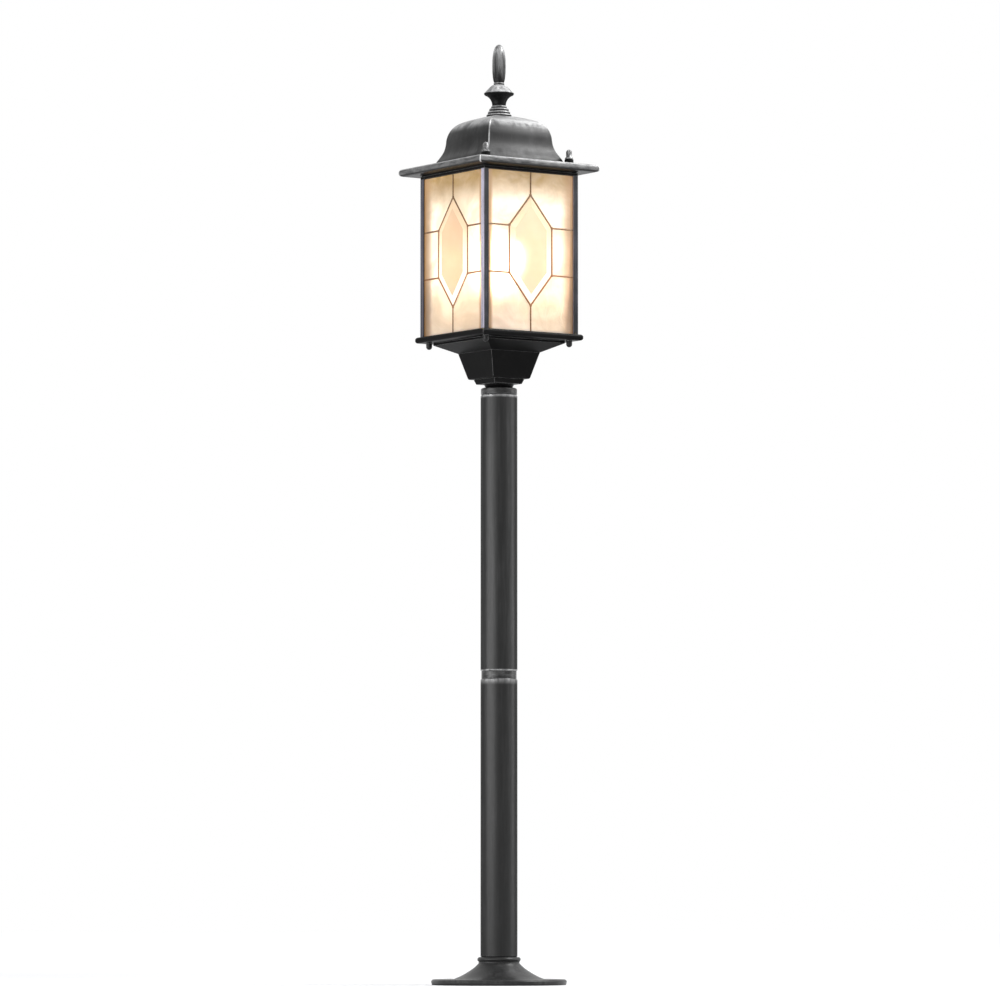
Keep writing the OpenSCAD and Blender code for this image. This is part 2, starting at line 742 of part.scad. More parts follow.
module lampholder() {
    r = holder_d / 2;
    waist = holder_h / 2;
    color("#7b5541") translate([0, 0, holder_z]) difference() {
        rotate_extrude() polygon([[0, 0], [r - 1, 0], [r, 1], [r, waist - 2], [r - 1.2, waist],
                                  [r - 1.2, holder_h - 1.5], [r - 2.7, holder_h], [0, holder_h]]);
        translate([0, 0, holder_floor]) cylinder(r = cap_r + 2, h = holder_h);
        for (x = [-1, 1]) {
            translate([x * wire_x, 0, -1]) cylinder(r = wire_r + slip, h = 7);
            translate([0, x * holder_screw_at, -1]) cylinder(d = m3_tap, h = 6);
        }
    }
}

module holder_shell() {
    color("#c9a86a") translate([0, 0, holder_z + holder_floor])
        pipe(2 * (cap_r + 2 - slip), 2 * cap_r + 1.4, contact_h + cap_len - 4);
}

module holder_contact() {
    color("#c9a86a") translate([0, 0, holder_z + holder_floor]) {
        cylinder(r = 5, h = 1);
        cylinder(r = 2, h = contact_h - seat);
    }
}

module bulb_cap() {
    turns = 6;
    pitch = 3.6;
    wave = [for (i = [0:4 * turns]) [cap_r - 0.55 - 0.45 * cos(90 * i), 2 + i * pitch / 4]];
    inner = cap_r - 1.8;
    color("#c4c6c8") translate([0, 0, cap_z]) rotate_extrude() polygon(concat(
        [[inner - 2, 0], [cap_r - 2, 0]], wave,
        [[cap_r - 1, cap_len], [inner, cap_len], [inner, 2], [inner - 2, 1]]));
}

module bulb_insulator() {
    r = cap_r - 3.8 - slip;
    color("#1b1b1d") translate([0, 0, cap_z - 2]) rotate_extrude()
        polygon([[5, 0], [7, 0], [r, 2], [r, 3], [3, 3], [3, 1.2], [5, 1.2]]);
}

module bulb_contact() {
    color("#c9a86a") translate([0, 0, bulb_z]) {
        cylinder(r1 = 3.6, r2 = 4.6, h = contact_h - 0.8);
        cylinder(r = 2.8, h = contact_h + 1);
    }
}

// Side of the bulb's glass: a neck in the cap, a smooth swell and a round crown
function bulb_side(t) =
    let (neck = cap_r - 1.8 - slip - t, r = globe_r - t)
    concat([[neck, cap_top - 5], [neck, cap_top + 3]],
           curve([neck, cap_top + 3], [neck + 1, cap_top + 15],
                 [r * 0.93, globe_z - 26], [r * 0.985, globe_z - 5]),
           arc([0, globe_z], r, 0, 90, 12));

module bulb_glass() {
    inside = bulb_side(1);
    color([1, 0.93, 0.8, 0.8]) rotate_extrude()
        polygon(concat(bulb_side(0), [for (i = [len(inside) - 1:-1:0]) inside[i]]));
}

module bulb_stem() {
    flare = cap_r - 2.8 - 2 * slip;
    color([0.9, 0.92, 0.95, 0.5]) translate([0, 0, cap_top]) rotate_extrude() polygon([
        [0, -4], [flare, -4], [flare, -3], [3.2, 2], [3.2, stem_h - 3], [5, stem_h], [0, stem_h]]);
}

// Filament bent to an arch, on two lead wires and a middle support
module bulb_filament() {
    z = cap_top + stem_h + slip;
    lead_r = 0.35;
    arch = 11;
    rise = 11.3;
    color("#d8c9a0") {
        for (x = [-1, 1]) translate([x * 3.8, 0, z + lead_r]) rotate([0, x * 33, 0])
            cylinder(r = lead_r, h = 13);
        translate([0, 0, z]) cylinder(r = lead_r, h = rise + arch);
        translate([0, 0, z + rise]) rotate([90, 0, 0]) rotate_extrude(angle = 180)
            translate([arch, 0]) circle(r = 0.7, $fn = 16);
    }
}

module terminal_block() {
    color("#ddd8c8") difference() {
        translate([-block[0] / 2, -block[1] / 2, strap_z - block[2]]) cube(block);
        translate([0, 0, strap_z - block[2] - 1]) {
            cylinder(d = m3_hole, h = block[2] + 2);
            cylinder(d = m3_head + 2 * slip, h = block_sink + 1);
        }
        for (x = [-1, 1]) {
            translate([x * terminal_x, 0, strap_z - block[2] - 1]) cylinder(d = m3_tap, h = 5);
            translate([x * block[0] / 2, 0, wire_z]) rotate([0, -90 * x, 0])
                translate([0, 0, -1]) cylinder(r = wire_r + slip, h = 4);
        }
    }
}

module terminal_screws() {
    color("#c9a86a") for (x = [-1, 1]) translate([x * terminal_x, 0, strap_z - block[2] + 0.6])
        cylinder(d = m3, h = 3);
}

module block_screw() {
    color("#c8b878") translate([0, 0, strap_z - block[2] + block_sink]) mirror([0, 0, 1])
        small_screw(block[2] - block_sink + strap_t);
}

// Wire from the terminal block, round a bend and up into the lampholder
module wire(x, shade) {
    bend = wire_x - block[0] / 2;
    color(shade) mirror([x < 0 ? 1 : 0, 0, 0]) {
        translate([block[0] / 2 - 2.5, 0, wire_z]) rotate([0, 90, 0]) cylinder(r = wire_r, h = 2.5);
        translate([block[0] / 2, 0, wire_z + bend]) rotate([90, 0, 0]) rotate_extrude(angle = -90)
            translate([bend, 0]) circle(r = wire_r, $fn = 24);
        translate([wire_x, 0, wire_z + bend]) cylinder(r = wire_r, h = holder_z + 5 - wire_z - bend);
    }
}

module earth_screw() {
    tag = 0.8;
    color("#c9a86a") translate([0, earth_y, cage_z]) {
        pipe(9, m3_hole, tag);
        translate([0, 0, tag]) small_screw(tag + 4);
    }
}

foot();
foot_nipple();
cable_grommet();
tube(lower_z);  // lower_tube
tube_coupler();
tube(upper_z);  // upper_tube
head_collar();
collar_screw();
lantern_base();
post(-1, -1);  // post_front_left
post(1, -1);  // post_front_right
post(-1, 1);  // post_back_left
post(1, 1);  // post_back_right
top_frame();
roof_gasket();
pane(0);  // glass_front
pane(-90);  // glass_left
pane(180);  // glass_back
pane(90);  // glass_right
bevel(0);  // bevel_front
bevel(-90);  // bevel_left
bevel(180);  // bevel_back
bevel(90);  // bevel_right
leading(0);  // leading_front
leading(-90);  // leading_left
leading(180);  // leading_back
leading(90);  // leading_right
tie_rods();
rod_nuts();
roof_plate();
roof_dome();
dome_screws();
finial();
finial_collar();
finial_nut();
hinge_pins();
cap_screw(-1);  // cap_screw_left
cap_screw(1);  // cap_screw_right
cap_washer(-1);  // cap_washer_left
cap_washer(1);  // cap_washer_right
holder_strap();
strap_screws();
holder_screws();
lampholder();
holder_shell();
holder_contact();
bulb_glass();
bulb_cap();
bulb_insulator();
bulb_contact();
bulb_stem();
bulb_filament();
terminal_block();
terminal_screws();
block_screw();
wire(1, "#6b3f22");  // wire_live
wire(-1, "#2f5fa8");  // wire_neutral
earth_screw();
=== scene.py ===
"""Looks of the lantern floor lamp: black castings with a silver rub, a lit bulb and leaded glass.

Sizes are in millimetres where a name or comment doesn't say otherwise, and MM turns them into
metres. The parts are the materials, the pieces that take the place of CAD nodes, and the studio.
"""

import json
import math

import bmesh
import bpy
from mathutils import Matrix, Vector, noise

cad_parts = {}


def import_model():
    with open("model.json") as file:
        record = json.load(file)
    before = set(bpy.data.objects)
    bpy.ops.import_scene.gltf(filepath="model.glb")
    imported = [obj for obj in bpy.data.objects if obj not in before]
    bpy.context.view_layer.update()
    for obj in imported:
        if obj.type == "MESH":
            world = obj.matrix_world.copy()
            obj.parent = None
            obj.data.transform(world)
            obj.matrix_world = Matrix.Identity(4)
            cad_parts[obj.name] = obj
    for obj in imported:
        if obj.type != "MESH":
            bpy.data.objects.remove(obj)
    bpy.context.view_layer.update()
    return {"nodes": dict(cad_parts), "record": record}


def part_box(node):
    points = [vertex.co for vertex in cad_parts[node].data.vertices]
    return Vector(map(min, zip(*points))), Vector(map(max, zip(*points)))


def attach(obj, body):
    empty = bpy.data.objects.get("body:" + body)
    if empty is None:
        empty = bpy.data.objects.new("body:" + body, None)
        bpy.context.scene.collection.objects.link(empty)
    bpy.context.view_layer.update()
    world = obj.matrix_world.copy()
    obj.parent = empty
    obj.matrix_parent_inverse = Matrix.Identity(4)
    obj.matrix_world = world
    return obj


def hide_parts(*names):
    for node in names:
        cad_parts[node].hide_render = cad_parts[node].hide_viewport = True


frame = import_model()

MM = 0.001


# ---------------------------------------------------------------- sizes from the frame

X, Z = 0, 2
LOW, HIGH = 0, 1


def reach_of(node, axis, side):
    """How far a CAD node reaches at rest: its LOW or HIGH end on an axis."""
    return round(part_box(node)[side][axis] / MM, 1)


LOWER_TUBE_TOP = reach_of("lower_tube", Z, HIGH)
UPPER_TUBE_FOOT = reach_of("upper_tube", Z, LOW)
UPPER_TUBE_TOP = reach_of("upper_tube", Z, HIGH)
CAGE_FOOT = reach_of("post_front_left", Z, LOW)
CAGE_TOP = reach_of("post_front_left", Z, HIGH)
PANE_FOOT = reach_of("glass_front", Z, LOW)
PANE_TOP = reach_of("glass_front", Z, HIGH)
GLASS_OUT = reach_of("glass_right", X, HIGH)       # from the axis to a pane's outer face
GLASS_IN = reach_of("glass_right", X, LOW)
LEAD_HALF = reach_of("leading_front", X, HIGH)     # half the width that the lead strips cross
HEX_Z = (reach_of("bevel_front", Z, LOW) + reach_of("bevel_front", Z, HIGH)) / 2
PLATE_TOP = reach_of("roof_plate", Z, HIGH)        # the dome stands on the roof plate
DOME_HALF = reach_of("roof_dome", X, HIGH)
DOME_HIGH = reach_of("roof_dome", Z, HIGH) - PLATE_TOP
KNOB_FOOT = reach_of("finial_collar", Z, HIGH)     # the finial stands on the ringed collar
KNOB_R = reach_of("finial", X, HIGH)
FINIAL_HIGH = reach_of("finial", Z, HIGH) - KNOB_FOOT


# ---------------------------------------------------------------- materials


def srgb(red, green, blue):
    """A colour written as it looks on a screen, 0 to 255, as the shaders take it."""
    def linear(value):
        value /= 255
        return value / 12.92 if value <= 0.04045 else ((value + 0.055) / 1.055) ** 2.4
    return (linear(red), linear(green), linear(blue), 1.0)


def grey(value):
    return srgb(value, value, value)


class Graph:
    """A material's node tree, with short calls for the nodes used here.

    Points are in metres, so a noise of scale 100 has spots about 10 mm across."""

    def __init__(self, name):
        self.material = bpy.data.materials.new(name)
        self.material.use_nodes = True
        self.nodes = self.material.node_tree.nodes
        self.links = self.material.node_tree.links
        self.nodes.clear()
        place = self.add("ShaderNodeTexCoord")
        self.point, self.normal = place.outputs["Object"], place.outputs["Normal"]

    def add(self, kind, inputs=None, **settings):
        """A node with these settings, and its inputs set to values or linked to sockets."""
        node = self.nodes.new(kind)
        for key, value in settings.items():
            setattr(node, key, value)
        for key, value in (inputs or {}).items():
            if isinstance(value, bpy.types.NodeSocket):
                self.links.new(value, node.inputs[key])
            else:
                node.inputs[key].default_value = value
        return node

    def math(self, operation, a, b=0.0, clamp=False):
        node = self.add("ShaderNodeMath", {0: a, 1: b}, operation=operation, use_clamp=clamp)
        return node.outputs[0]

    def times(self, a, b):
        return self.math("MULTIPLY", a, b)

    def larger(self, a, b):
        return self.math("MAXIMUM", a, b)

    def size_of(self, value):
        return self.math("ABSOLUTE", value)

    def vector(self, operation, a, b):
        """A node of vector arithmetic, whose outputs are "Vector" and "Value"."""
        return self.add("ShaderNodeVectorMath", {0: a, 1: b}, operation=operation)

    def axis(self, name, vector=None):
        """X, Y or Z of a vector, by default of the point on the object, in metres."""
        return self.add("ShaderNodeSeparateXYZ", {0: vector or self.point}).outputs[name]

    def stretched(self, x, y, z):
        return self.vector("MULTIPLY", self.point, (x, y, z)).outputs["Vector"]

    def noise(self, vector, scale, detail=3.0, roughness=0.55, distortion=0.0):
        node = self.add("ShaderNodeTexNoise", {
            "Vector": vector, "Scale": scale, "Detail": detail,
            "Roughness": roughness, "Distortion": distortion})
        return node.outputs["Fac"]

    def ramp(self, value, low, high, start=0.0, end=1.0):
        """value taken smoothly from low..high to start..end, held at its ends."""
        node = self.add("ShaderNodeMapRange", {0: value, 1: low, 2: high, 3: start, 4: end},
                        interpolation_type="SMOOTHSTEP", clamp=True)
        return node.outputs[0]

    def fade(self, length, low, high, start=0.0, end=1.0):
        """A ramp of a length, whose low and high are in millimetres."""
        return self.ramp(length, low * MM, high * MM, start, end)

    def mix(self, share, a, b):
        node = self.add("ShaderNodeMix", {0: share, 6: a, 7: b}, data_type="RGBA")
        return node.outputs[2]

    def bump(self, height, distance, strength, normal=None):
        inputs = {"Height": height, "Distance": distance, "Strength": strength}
        if normal:
            inputs["Normal"] = normal
        return self.add("ShaderNodeBump", inputs).outputs[0]

    def edges(self, radius, low=0.02, high=0.25):
        """1 on the object's edges, falling to 0 within radius of them."""
        rounded = self.add("ShaderNodeBevel", {"Radius": radius}, samples=6).outputs[0]
        plain_normal = self.add("ShaderNodeNewGeometry").outputs["Normal"]
        alike = self.vector("DOT_PRODUCT", rounded, plain_normal).outputs["Value"]
        return self.ramp(self.math("SUBTRACT", 1.0, alike), low, high)

    def finish(self, **inputs):
        """Ends the tree in a Principled shader with these inputs, words joined by underscores."""
        shader = self.add("ShaderNodeBsdfPrincipled",
                          {key.replace("_", " "): value for key, value in inputs.items()})
        self.add("ShaderNodeOutputMaterial", {"Surface": shader.outputs[0]})
        return self.material


def antique(name, dark, silver, rub=0.5, streak=(1.0, 1.0, 0.12), roughness=0.34, specular=0.3,
            edge=0.7, worn_to=grey(200), wear=1.1, metal=0.3, where=None, line=None, recess=0.0,
            grazing=1.0):
    """Black casting paint with a silver rub in streaks, and bright wear on its edges.

    rub       share of silver where the rub is heaviest
    streak    stretch of the streaks, smallest along them, or a function of the graph
    edge      share of bright wear on the edges, over a band as wide as wear
    metal     how metallic the rubbed silver is
    where     function of the graph: what the rub is multiplied by, and what is added to it; it paints light and shade into some materials
    line      function of the graph: more wear and painted highlights, along lines
    recess    width of the hollows that keep their black
    grazing   share of the gloss that is left where the surface turns away
    """
    cloud_scale, streak_scale, scratch_scale, grain_scale = 24, 240, 1500, 1900
    g = Graph(name)
    clouds = g.noise(g.point, cloud_scale, 4, 0.6)
    along = streak(g) if callable(streak) else g.stretched(*streak)
    streaks = g.noise(along, streak_scale, 5, 0.65)
    scratches = g.noise(along, scratch_scale, 3, 0.6)
    grain = g.noise(g.point, grain_scale, 2, 0.6)
    rub_and_painted_light = g.times(g.ramp(clouds, 0.3, 0.75), g.ramp(streaks, 0.3, 0.75))
    scratched = g.times(g.ramp(scratches, 0.5, 0.85), rub * 0.3)
    rub_and_painted_light = g.math("ADD", g.times(rub_and_painted_light, rub), scratched)
    if where:
        # where() paints light and shade into the rub: by which way a face looks, by height, or by
        # place
        times, more = where(g)
        more = g.times(more, g.ramp(streaks, 0.28, 0.66, 0.25, 1.0))
        rub_and_painted_light = g.math("ADD", g.times(rub_and_painted_light, times), more, clamp=True)
    wear_and_highlight = g.times(g.edges(wear * MM), g.ramp(streaks, 0.25, 0.6, 0.35 * edge, edge))
    # line() adds painted highlights along lines, on top of the wear
    if line:
        wear_and_highlight = g.larger(wear_and_highlight, line(g))
    if recess:
        node = g.add("ShaderNodeAmbientOcclusion", {"Distance": recess * MM}, samples=8)
        raised = g.ramp(node.outputs["AO"], 0.66, 0.95)
        rub_and_painted_light = g.times(rub_and_painted_light, raised)
        wear_and_highlight = g.times(wear_and_highlight, raised)
    gloss = specular
    if grazing < 1.0:
        facing = g.add("ShaderNodeLayerWeight").outputs["Facing"]
        gloss = g.ramp(facing, 0.2, 0.7, specular, specular * grazing)
    return g.finish(
        Base_Color=g.mix(wear_and_highlight, g.mix(rub_and_painted_light, dark, silver), worn_to),
        Metallic=g.math("ADD", g.times(rub_and_painted_light, metal), g.times(wear_and_highlight, 0.6), clamp=True),
        Roughness=g.ramp(scratches, 0.2, 0.8, roughness - 0.06, roughness + 0.08),
        Specular_IOR_Level=gloss,
        Normal=g.bump(grain, 0.05 * MM, 0.3))


def roof_streak(g):
    """The rub runs along the roof plate's edges, and up and down the dome."""
    on_plate, on_dome = g.stretched(0.25, 0.25, 1), g.stretched(0.32, 0.32, 0.05)
    share = g.fade(g.axis("Z"), PLATE_TOP - 0.5, PLATE_TOP + 0.5)
    node = g.add("ShaderNodeMix", {0: share, 4: on_plate, 5: on_dome}, data_type="VECTOR")
    return node.outputs[1]


def roof_rub_and_highlight(g):
    """The roof plate's edge and the dome's brow carry more of the rub than its steep sides: wear,
    with a painted highlight on faces that look up, stronger higher on the dome, and no rub on
    faces that look down.
    """
    facing_up = g.axis("Z", g.normal)
    height = g.axis("Z")
    # painted highlight: more silver on faces that look up, the more so the higher they stand
    painted_light_by_height = g.fade(height, PLATE_TOP + 14.1, PLATE_TOP + 49.1, 0.28, 1.5)
    upward_highlight = g.times(g.ramp(facing_up, 0.36, 0.85), painted_light_by_height)
    plate = g.fade(height, PLATE_TOP - 0.5, PLATE_TOP + 0.9, 0.36, 0.0)
    not_below = g.ramp(facing_up, -0.75, -0.2)
    times = g.ramp(not_below, 0.0, 1.0, 0.0, 0.8)
    return times, g.times(g.larger(upward_highlight, plate), not_below)


def roof_wear_and_highlight_lines(g):
    """The dome's four hips and the upper line of the plate's edge, bright with wear and with a
    painted highlight.
    """
    # painted highlight along the hips and the plate's upper edge, on top of wear
    off_hip = g.math("SUBTRACT", g.size_of(g.axis("X")), g.size_of(g.axis("Y")))
    hip = g.fade(g.size_of(off_hip), 0.4, 1.8, 0.8, 0.0)
    outward = g.vector("DOT_PRODUCT", g.normal, g.stretched(1, 1, 0)).outputs["Value"]
    hip = g.times(hip, g.fade(outward, 1, 4))
    off_line = g.math("SUBTRACT", g.axis("Z"), (PLATE_TOP - 1.0) * MM)
    top = g.fade(g.size_of(off_line), 0.3, 1.2, 0.5, 0.0)
    return g.times(g.larger(hip, top), g.ramp(g.noise(g.point, 90, 3), 0.3, 0.7, 0.35, 1.0))


def finial_rub_highlight_and_shade(g):
    """The finial's rub is bright, with a painted highlight on faces that look up, less so at the
    spear's foot, and painted shade keeps it black under its knob.
    """
    facing_up = g.axis("Z", g.normal)
    height = g.axis("Z")
    # painted highlight: more silver on faces that look up
    upward_highlight = g.ramp(facing_up, -0.15, 0.4)
    # painted shade: under the knob, the neck's faces that don't look up keep their black
    neck = g.times(g.fade(height, KNOB_FOOT + 1.2, KNOB_FOOT + 3.2),
                   g.fade(height, KNOB_FOOT + 17.2, KNOB_FOOT + 18.9, 1.0, 0.0))
    shade_under_knob = g.times(neck, g.ramp(facing_up, 0.1, 0.5, 1.0, 0.0))
    share = g.math("SUBTRACT", g.ramp(upward_highlight, 0.0, 1.0, 0.26, 0.75), shade_under_knob, clamp=True)
    knob = g.fade(height, KNOB_FOOT + 31.2, KNOB_FOOT + 32.2, 1.0, 0.0)
    spear = g.fade(height, KNOB_FOOT + 32.7, KNOB_FOOT + 58.7, 0.08, 1.0)
    by_height = g.larger(knob, spear)
    return g.times(g.ramp(shade_under_knob, 0.0, 1.0, 0.4, 0.05), by_height), g.times(share, by_height)


def tube_wear_and_highlight_lines(g):
    """Bright lines where the tubes meet the ring and the collar: wear, with painted highlights on
    the tubes' ends.
    """
    height = g.axis("Z")
    # painted highlights at the tubes' ends, the lower one fading down the lower tube
    lower = g.times(g.fade(height, LOWER_TUBE_TOP - 8.0, LOWER_TUBE_TOP + 0.2, 0.0, 0.45),
                    g.fade(height, LOWER_TUBE_TOP + 0.5, LOWER_TUBE_TOP + 1.5, 1.0, 0.0))
    off_line = g.math("SUBTRACT", height, (UPPER_TUBE_FOOT + 0.7) * MM)
    above = g.fade(g.size_of(off_line), 0.5, 1.6, 0.6, 0.0)
    upper = g.fade(height, UPPER_TUBE_TOP - 4.5, UPPER_TUBE_TOP - 0.1, 0.0, 0.8)
    lines = g.larger(lower, g.larger(above, upper))
    broken = g.noise(g.stretched(1, 1, 0.3), 160, 4)
    return g.times(lines, g.ramp(broken, 0.3, 0.7, 0.25, 1.0))


def tube_rub_and_top_light(g):
    """Long soft streaks down the tubes, and a little more silver towards the top of the post, a
    painted lightening of its upper part.
    """
    long = g.noise(g.stretched(1, 1, 0.045), 150, 4, 0.6, 0.4)
    # painted light: the post gets lighter towards its top
    painted_light_by_height = g.fade(g.axis("Z"), 0, 720, 0.5, 1.0)
    return 1.0, g.times(g.ramp(long, 0.42, 0.72, 0.0, 0.3), painted_light_by_height)


def post_rub_and_painted_light(g):
    """A post's sides that look along X carry more of the rub than those that look along Y, and the
    posts towards -Y more than those towards +Y: painted light and shade by side and by place.
    """
    normal = g.add("ShaderNodeNewGeometry").outputs["True Normal"]
    # painted light: sides that look along X are lighter, those along Y darker
    along_x = g.ramp(g.size_of(g.axis("X", normal)), 0.3, 0.9)
    # painted shade: the posts towards +Y are darker
    near = g.fade(g.axis("Y"), -60, 60, 1.0, 0.15)
    return g.times(g.ramp(along_x, 0.0, 1.0, 0.2, 1.2), near), g.times(along_x, near)


def plain(name, color, roughness, metallic=0.0, spread=0.12, scale=60, grain=0.02, **inputs):
    """A plain finish whose colour and gloss vary a little from place to place."""
    g = Graph(name)
    cloud = g.noise(g.point, scale, 4, 0.6)
    fine = g.noise(g.point, 2400, 2)
    light = tuple(min(1.0, c * (1 + spread)) for c in color[:3]) + (1.0,)
    dark = tuple(c * (1 - spread) for c in color[:3]) + (1.0,)
    return g.finish(
        Base_Color=g.mix(cloud, dark, light), Metallic=metallic,
        Roughness=g.ramp(fine, 0.2, 0.8, roughness * 0.85, min(1.0, roughness * 1.15)),
        Normal=g.bump(fine, grain * MM, 0.4), **inputs)


GLOW_Z = 872                     # middle of the bulb's glow
BULB_AT = (0.0, 0.0, GLOW_Z * MM)


def glow_distance(g):
    """Distance of the point on the object from the middle of the bulb, in metres."""
    return g.vector("DISTANCE", g.point, BULB_AT).outputs["Value"]


def across_face(g):
    """Distance of the point from the upright middle line of its face, in metres."""
    return g.math("MINIMUM", g.size_of(g.axis("X")), g.size_of(g.axis("Y")))


def to_one_side(g):
    """Distance of the point towards +X or +Y from the middle line of its face, in metres."""
    x, y = g.axis("X"), g.axis("Y")
    along_x = g.math("LESS_THAN", g.size_of(x), g.size_of(y))
    along_y = g.math("SUBTRACT", 1.0, along_x)
    return g.math("ADD", g.times(along_x, x), g.times(along_y, y))


def water_glass():
    """Champagne glass with a wavy, clouded face, lit from inside: its glow is painted into its
    emission.

    It is amber at its top, its tint darkened there by a painted shade where the bulb's light falls
    off, rose at its foot with darker blotches, a painted shadow of the lampholder, and brown in
    the posts' channels, a painted shade of the posts seen through the glass."""
    g = Graph("water_glass")
    wave = g.noise(g.stretched(1, 1, 0.6), 55, 3, 0.5, 1.2)
    cloud = g.noise(g.stretched(1, 1, 1.3), 22, 3, 0.55, 0.8)
    blotch = g.noise(g.stretched(1, 1, 1.7), 34, 3, 0.55, 0.5)
    ripple = g.noise(g.point, 190, 3, 0.5, 0.8)
    height = g.axis("Z")
    # painted shade: the top darkens to amber, away from the bulb
    top = g.times(g.fade(height, 940, 982), g.ramp(blotch, 0.25, 0.7, 0.75, 1.0))
    share = g.ramp(cloud, 0.3, 0.7)

    cream = g.mix(share, srgb(238, 218, 190), srgb(252, 240, 224))
    rose = g.mix(g.ramp(blotch, 0.3, 0.7), srgb(206, 184, 166), srgb(240, 224, 210))
    amber = g.mix(share, srgb(150, 112, 46), srgb(184, 146, 74))
    glow = g.mix(top, g.mix(g.fade(height, 815, 870), rose, cream), amber)
    body = g.mix(share, srgb(210, 196, 174), srgb(236, 224, 206))
    body = g.mix(top, body, srgb(150, 120, 70))

    # painted shade of the posts' channels seen through the glass, near the posts and more to one
    # side
    channel_shade = g.larger(g.fade(across_face(g), 54.5, 59.5),
                       g.fade(to_one_side(g), 44, 57, 0.0, 0.8))
    glow = g.mix(channel_shade, glow, srgb(196, 150, 96))
    body = g.mix(channel_shade, body, srgb(160, 128, 92))

    # the painted glow: weaker in the channels, and dimmer below the bulb as a painted fall-off of
    # its light
    strength = g.math("ADD", g.ramp(cloud, 0.25, 0.75, 0.34, 0.42), g.times(channel_shade, -0.12))
    strength = g.times(strength, g.fade(height, 826, 872, 0.48, 1.0))
    clear = g.math("SUBTRACT", g.fade(height, 830, 875, 0.72, 0.4), g.times(top, 0.2))
    return g.finish(
        Base_Color=body, Roughness=0.33, IOR=1.5, Transmission_Weight=clear,
        Specular_IOR_Level=0.4,
        Emission_Color=glow, Emission_Strength=strength,
        Normal=g.bump(ripple, 0.2 * MM, 0.25, g.bump(wave, 1.4 * MM, 0.6)))


def bevelled_glass():
    """Polished glass: its flat middle shows the tan inside and its bevels catch the bulb, both
    painted into its emission.
    """
    g = Graph("bevelled_glass")
    ripple = g.noise(g.point, 45, 2, 0.5)
    normal = g.add("ShaderNodeNewGeometry").outputs["True Normal"]
    facing = g.larger(g.size_of(g.axis("X", normal)), g.size_of(g.axis("Y", normal)))
    flat = g.ramp(facing, 0.990, 0.997)
    # painted glint of the bulb on the bevels, brighter lower down towards the bulb
    glow = g.fade(g.axis("Z"), 860, 950, 1.0, 0.0)
    facet = g.mix(glow, srgb(246, 224, 184), srgb(255, 250, 240))
    bevel = g.times(g.ramp(glow, 0.0, 1.0, 0.26, 0.66), g.ramp(flat, 0.0, 1.0, 1.0, 0.0))
    strength = g.math("ADD", bevel, g.ramp(flat, 0.0, 1.0, 0.0, 0.13))
    line = g.edges(0.6 * MM, 0.0004, 0.002)
    strength = g.times(strength, g.math("SUBTRACT", 1.0, g.times(line, 0.5)))
    return g.finish(
        Base_Color=g.mix(ripple, srgb(221, 199, 176), srgb(209, 185, 157)),
        Roughness=0.24, IOR=1.5, Transmission_Weight=0.45, Specular_IOR_Level=0.4,
        Emission_Color=g.mix(flat, facet, srgb(250, 218, 172)), Emission_Strength=strength,
        Normal=g.bump(ripple, 0.6 * MM, 0.3))


def lead():
    """Lead strip with a bronze patina, and a painted warm glow of the bulb on it near the bulb."""
    g = Graph("lead")
    patina = g.noise(g.point, 420, 4, 0.65)
    return g.finish(
        Base_Color=g.mix(g.ramp(patina, 0.3, 0.7), srgb(70, 52, 34), srgb(128, 98, 62)),
        Metallic=0.25, Roughness=0.42,
        # painted glow of the bulb's light on the lead, in its emission
        Emission_Color=srgb(220, 118, 40),
        Emission_Strength=g.fade(glow_distance(g), 66, 105, 0.3, 0.03),
        Normal=g.bump(patina, 0.12 * MM, 0.6))


def lit_bulb():
    """The bulb's glass, burnt out by its own light, less so at its neck."""
    g = Graph("bulb_glass")
    haze = g.noise(g.point, 80, 3)
    strength = g.times(g.fade(g.axis("Z"), 840, GLOW_Z, 0.7, 12.0),
                       g.ramp(haze, 0.2, 0.8, 0.92, 1.08))
    return g.finish(
        Base_Color=srgb(255, 250, 240), Roughness=0.08, IOR=1.5, Transmission_Weight=0.35,
        Emission_Color=srgb(255, 244, 224), Emission_Strength=strength)


def lampholder_body():
    """Brown glazed porcelain, mottled like the real glaze."""
    g = Graph("lampholder_body")
    mottle = g.noise(g.point, 120, 4)
    return g.finish(
        Base_Color=g.mix(g.ramp(mottle, 0.3, 0.7), srgb(96, 62, 46), srgb(150, 108, 84)),
        Roughness=0.22, Coat_Weight=0.5, Coat_Roughness=0.08,
        Normal=g.bump(mottle, 0.1 * MM, 0.3))


EVEN = (1, 1, 1)                 # no streaks
ROUND = (0.3, 0.3, 1)            # streaks round the post

